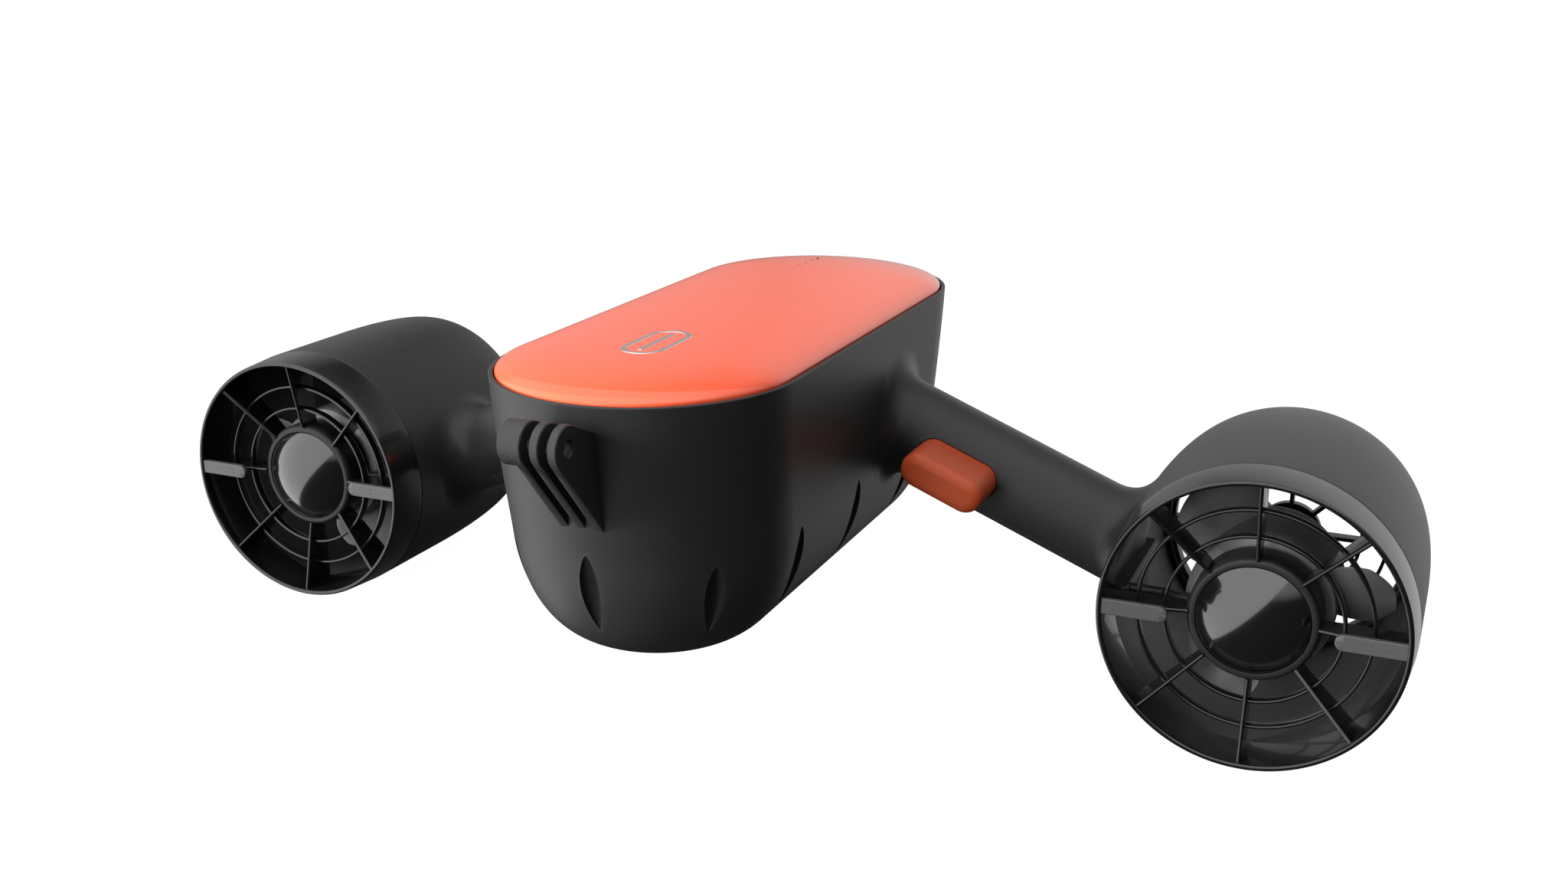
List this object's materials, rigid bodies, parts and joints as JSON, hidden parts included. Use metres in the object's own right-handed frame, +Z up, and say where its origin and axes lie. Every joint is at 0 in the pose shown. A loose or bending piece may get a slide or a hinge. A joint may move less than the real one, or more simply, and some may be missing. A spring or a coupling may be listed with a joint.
{
  "type": "underwater scooter",
  "caption": "Hand-held underwater scooter: boat-shaped hull with a domed cover, drooping handles with triggers, and ducted propellers at their ends.",
  "frame": {"origin": "on the plane the ducts rest on, under the middle of the overall box", "axes": "+X across to the right-hand duct as seen from in front, -Y out of the nose, +Z up"},
  "size_m": [0.4858, 0.2704, 0.1374],
  "materials": {
    "shell": "fine satin grain",
    "gloss_shell": "glossy black",
    "cover": "glossy coral orange",
    "trigger": "satin dark orange",
    "inner_plastic": "moulded",
    "propeller_plastic": "fine texture",
    "steel": "stainless",
    "chrome": "bright inlay",
    "brass": "machined",
    "aluminium": "anodised",
    "winding": "enamelled copper on a laminated core",
    "seal": "moulded rubber",
    "cable": "rubber jacket",
    "lens": "clear light guide",
    "board": "solder mask",
    "battery_wrap": "shrink wrap"
  },
  "bodies": {
    "hull": {"hull_tub": "shell", "camera_mount": "shell", "mount_nut": "brass", "cover_gasket": "seal", "sealing_plate": "inner_plastic", "plate_screws": "steel", "top_cover": "cover", "emblem": "chrome", "indicator_lights": "lens", "control_board": "board", "battery_cradle": "inner_plastic", "battery_pack": "battery_wrap", "battery_contacts": "brass", "battery_collar": "shell", "arm_left": "shell", "arm_cover_left": "shell", "arm_screws_left": "steel", "trigger_spring_left": "steel", "sensor_board_left": "board", "motor_cable_left": "cable", "duct_left": "shell", "front_guard_left": "gloss_shell", "nose_dome_left": "gloss_shell", "rear_guard_left": "shell", "motor_base_left": "aluminium", "motor_stator_left": "winding", "motor_bearings_left": "steel", "shaft_seal_left": "seal", "motor_screws_left": "steel", "arm_right": "shell", "arm_cover_right": "shell", "arm_screws_right": "steel", "trigger_spring_right": "steel", "sensor_board_right": "board", "motor_cable_right": "cable", "duct_right": "shell", "front_guard_right": "gloss_shell", "nose_dome_right": "gloss_shell", "rear_guard_right": "shell", "motor_base_right": "aluminium", "motor_stator_right": "winding", "motor_bearings_right": "steel", "shaft_seal_right": "seal", "motor_screws_right": "steel"},
    "battery_cap": {"battery_cap": "shell", "cap_seal": "seal"},
    "trigger_left": {"trigger_left": "trigger", "trigger_magnet_left": "steel"},
    "propeller_left": {"motor_rotor_left": "aluminium", "motor_shaft_left": "steel", "propeller_left": "propeller_plastic", "propeller_nut_left": "steel"},
    "trigger_right": {"trigger_right": "trigger", "trigger_magnet_right": "steel"},
    "propeller_right": {"motor_rotor_right": "aluminium", "motor_shaft_right": "steel", "propeller_right": "propeller_plastic", "propeller_nut_right": "steel"}
  },
  "joints": [
    {"name": "propeller_left_spin", "type": "hinge", "parent": "hull", "child": "propeller_left", "pos_m": [-0.1917, 0.021, 0.05115], "axis": [0, 1, 0], "continuous": true},
    {"name": "trigger_left_press", "type": "slide", "parent": "hull", "child": "trigger_left", "axis": [0, 1, 0], "range_m": [0, 0.0045], "stiffness_N_per_m": 400, "springref_m": -0.002, "deforming": ["trigger_spring_left"]},
    {"name": "propeller_right_spin", "type": "hinge", "parent": "hull", "child": "propeller_right", "pos_m": [0.1917, 0.021, 0.05115], "axis": [0, 1, 0], "continuous": true},
    {"name": "trigger_right_press", "type": "slide", "parent": "hull", "child": "trigger_right", "axis": [0, 1, 0], "range_m": [0, 0.0045], "stiffness_N_per_m": 400, "springref_m": -0.002, "deforming": ["trigger_spring_right"]},
    {"name": "battery_cap_turn", "type": "hinge", "parent": "hull", "child": "battery_cap", "pos_m": [0, 0.133, 0.08015], "axis": [0, 1, 0], "range_deg": [0, 60]}
  ]
}
